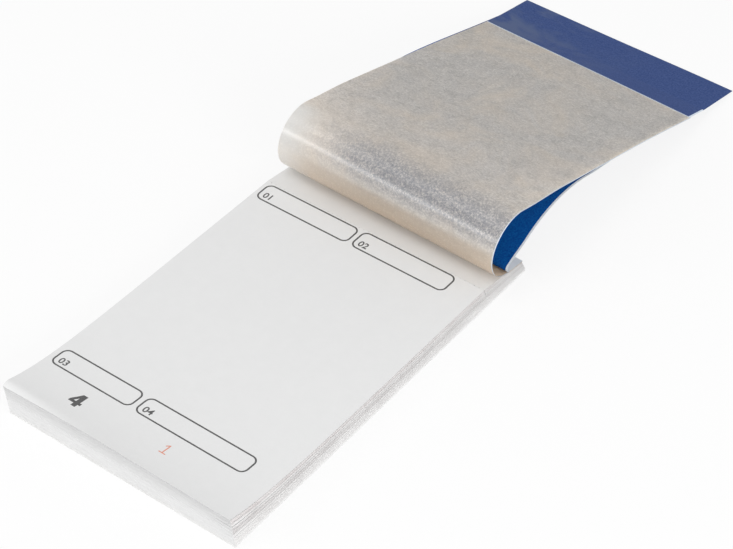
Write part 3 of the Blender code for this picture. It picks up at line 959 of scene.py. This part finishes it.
def ink_on_leaf(shapes, index):
    """Bmesh of flat shapes, cut at a leaf's rows, laid on it and given the ink's thickness."""
    rows = slip_rows(index)
    bm = bmesh.new()
    for points, faces in shapes:
        verts = [bm.verts.new((x, y, 0.0)) for x, y in points]
        for corners in faces:
            bm.faces.new([verts[corner] for corner in corners])
    bmesh.ops.translate(bm, verts=bm.verts, vec=(leaf_middle(index) - leaf_middle(TOP_LEAF), 0.0, 0.0))
    for row in rows:
        geometry = bm.verts[:] + bm.edges[:] + bm.faces[:]
        bmesh.ops.bisect_plane(bm, geom=geometry, plane_co=(0.0, row, 0.0), plane_no=(0.0, 1.0, 0.0))
    for vert in bm.verts:
        vert.co.z = page_height(index, rows, vert.co.x, vert.co.y)
    top = bmesh.ops.extrude_face_region(bm, geom=bm.faces[:])["geom"]
    lifted = [item for item in top if isinstance(item, bmesh.types.BMVert)]
    height = INK_HEIGHT if index == TOP_LEAF else INK_HEIGHT_BELOW
    bmesh.ops.translate(bm, verts=lifted, vec=(0.0, 0.0, height))
    bmesh.ops.recalc_face_normals(bm, faces=bm.faces)
    return bm


def print_piece(name, shapes, number, material):
    bm = ink_on_leaf(shapes, LEAF_COUNT - number)
    mesh = bpy.data.meshes.new(name)
    bm.to_mesh(mesh)
    bm.free()
    mesh.materials.append(material)
    piece = link_object(name, mesh)
    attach(piece, f"leaf_{number:02d}_slip")


def flat_shape(outlines):
    """Points and faces of a flat shape inside the first outline and outside the others."""
    points = [point for outline in outlines for point in outline]
    loops = [[Vector((x, y, 0.0)) for x, y in outline] for outline in outlines]
    return points, tessellate_polygon(loops)


def rounded_box(left, right, low, high, corner):
    path = []
    for middle_x, middle_y, start in (
        (right - corner, high - corner, 0.0),
        (left + corner, high - corner, pi / 2),
        (left + corner, low + corner, pi),
        (right - corner, low + corner, 3 * pi / 2),
    ):
        for step in range(BOX_CORNER_STEPS + 1):
            angle = start + step / BOX_CORNER_STEPS * pi / 2
            path.append((middle_x + corner * cos(angle), middle_y + corner * sin(angle)))
    return path


def box_outlines(left, right, low, high):
    half = BOX_LINE / 2
    outer = rounded_box(left - half, right + half, low - half, high + half, BOX_CORNER + half)
    inner = rounded_box(left + half, right - half, low + half, high - half, BOX_CORNER - half)
    return [outer, inner]


def moved(outline, x, y, size):
    return [(x + size * across, y + size * up) for across, up in outline]


def digits_shape(text, x, y, size):
    """Points and faces of small plain numerals."""
    curve = bpy.data.curves.new("numerals", "FONT")
    curve.body = text
    curve.size = size
    curve.offset = size * LABEL_WEIGHT
    curve.resolution_u = LABEL_CURVE_STEPS
    obj = bpy.data.objects.new("numerals", curve)
    mesh = obj.to_mesh()
    points = [(x + vert.co.x, y + vert.co.y) for vert in mesh.vertices]
    faces = [tuple(polygon.vertices) for polygon in mesh.polygons]
    obj.to_mesh_clear()
    bpy.data.objects.remove(obj)
    bpy.data.curves.remove(curve)
    return points, faces


def make_print(ink, red_ink):
    """The same boxes and numerals on every single leaf."""
    boxes = [flat_shape(box_outlines(*sides)) for sides in BOXES]
    labels = []
    for box, (left, _, low, _) in enumerate(BOXES, start=1):
        labels.append(digits_shape(f"{box:02d}", left + LABEL_INSET, low + LABEL_RISE, LABEL_SIZE))
    bold = flat_shape([moved(outline, *BOLD_NUMBER_PLACE, BOLD_NUMBER_HEIGHT) for outline in BOLD_FOUR])
    serial = flat_shape([moved(SERIAL_ONE, *SERIAL_NUMBER_PLACE, SERIAL_NUMBER_HEIGHT)])
    for number in range(1, SINGLE_LEAVES + 1):
        print_piece(f"print_boxes_{number:02d}", boxes + labels, number, ink)
        print_piece(f"print_bold_number_{number:02d}", [bold], number, ink)
        print_piece(f"print_serial_number_{number:02d}", [serial], number, red_ink)


# Hidden and hard parts that keep their CAD shape

def dress_nodes(card, steel):
    for name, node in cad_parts.items():
        if name == "backing_board":
            material = card
        elif name.startswith("staple"):
            material = steel
        else:
            continue
        node.data.materials.clear()
        node.data.materials.append(material)


# Stage

def seen_ray(tree):
    """1 for the rays that show the background: from the camera, off a gloss or through a clear piece."""
    path = tree.nodes.new("ShaderNodeLightPath")
    seen = path.outputs["Is Camera Ray"]
    for kind in ("Is Glossy Ray", "Is Transmission Ray"):
        most = tree.nodes.new("ShaderNodeMath")
        most.operation = "MAXIMUM"
        tree.links.new(seen, most.inputs[0])
        tree.links.new(path.outputs[kind], most.inputs[1])
        seen = most.outputs[0]
    return seen


def make_floor():
    """Pale floor that looks nearly white, lit so that it keeps a soft shadow."""
    nodes = Nodes("floor")
    nodes.set(Base_Color=FLOOR_COLOUR, Roughness=0.9)
    glow = nodes.add("ShaderNodeEmission")
    glow.inputs["Color"].default_value = WHITE
    nodes.mix_shaders(nodes.math("MULTIPLY", seen_ray(nodes.tree), FLOOR_GLOW), glow)
    mesh = bpy.data.meshes.new("floor")
    size = FLOOR_SIZE / 2
    corners = [(-size, -size, 0.0), (size, -size, 0.0), (size, size, 0.0), (-size, size, 0.0)]
    mesh.from_pydata(corners, [], [(0, 1, 2, 3)])
    mesh.materials.append(nodes.material)
    link_object("floor", mesh)


def add_area_light(name, place, target, wide, high, power):
    lamp = bpy.data.lights.new(name, "AREA")
    lamp.shape = "RECTANGLE"
    lamp.size = wide
    lamp.size_y = high
    lamp.energy = power
    obj = bpy.data.objects.new(name, lamp)
    obj.location = place
    obj.rotation_euler = (Vector(target) - Vector(place)).to_track_quat("-Z", "Y").to_euler()
    bpy.context.scene.collection.objects.link(obj)


def make_lights():
    world = bpy.data.worlds.new("studio")
    world.use_nodes = True
    background = world.node_tree.nodes["Background"]
    background.inputs["Color"].default_value = WHITE
    strength = world.node_tree.nodes.new("ShaderNodeMapRange")
    strength.inputs["To Min"].default_value = SKY_LIGHT
    strength.inputs["To Max"].default_value = 1.0
    world.node_tree.links.new(seen_ray(world.node_tree), strength.inputs["Value"])
    world.node_tree.links.new(strength.outputs["Result"], background.inputs["Strength"])
    bpy.context.scene.world = world
    for lamp in LAMPS:
        add_area_light(*lamp)


def make_camera():
    data = bpy.data.cameras.new("camera")
    data.sensor_width = SENSOR_WIDTH
    data.lens = LENS
    camera = bpy.data.objects.new("camera", data)
    back = Vector((sin(AZIMUTH) * cos(ELEVATION), -cos(AZIMUTH) * cos(ELEVATION), sin(ELEVATION)))
    right = Vector((0.0, 0.0, 1.0)).cross(back).normalized()
    up = back.cross(right)
    level = right * cos(ROLL) + up * sin(ROLL)
    upright = up * cos(ROLL) - right * sin(ROLL)
    turn = Matrix((level, upright, back)).transposed().to_4x4()
    camera.matrix_world = Matrix.Translation(TARGET + back * DISTANCE) @ turn
    bpy.context.scene.collection.objects.link(camera)
    bpy.context.scene.camera = camera


def main():
    paper = paper_material()
    white_edge = paper_edge_material("white_edge", (0.71, 0.695, 0.69), (0.775, 0.765, 0.76))
    # Darker copies of the cut edge: painted shade on bands of the upper leaves
    pink_painted_shade_edge = paper_edge_material("pinkish_painted_shade_edge", (0.64, 0.595, 0.59), (0.74, 0.71, 0.705))
    grey_painted_shade_edge = paper_edge_material("grey_painted_shade_edge", (0.58, 0.555, 0.55), (0.69, 0.67, 0.665))
    leaf_materials = [paper, paper, white_edge, pink_painted_shade_edge, grey_painted_shade_edge, paper_foot_material()]
    make_single_leaves(leaf_materials)
    make_bundles(leaf_materials)
    pale_edge_highlight = pale_edge_highlight_material()
    make_guard_sheet(tissue_material(), pale_edge_highlight)
    make_carbon_sheet(carbon_material(), carbon_back_material(), pale_edge_highlight)
    black_ink = ink_material("black_ink", (0.13, 0.13, 0.13), (0.045, 0.045, 0.045))
    red_ink = ink_material("red_ink", (0.74, 0.36, 0.28), (0.70, 0.26, 0.18))
    make_print(black_ink, red_ink)
    dress_nodes(card_material(), steel_material())
    make_floor()
    make_lights()
    make_camera()
    bpy.context.scene.view_settings.view_transform = "Standard"


main()
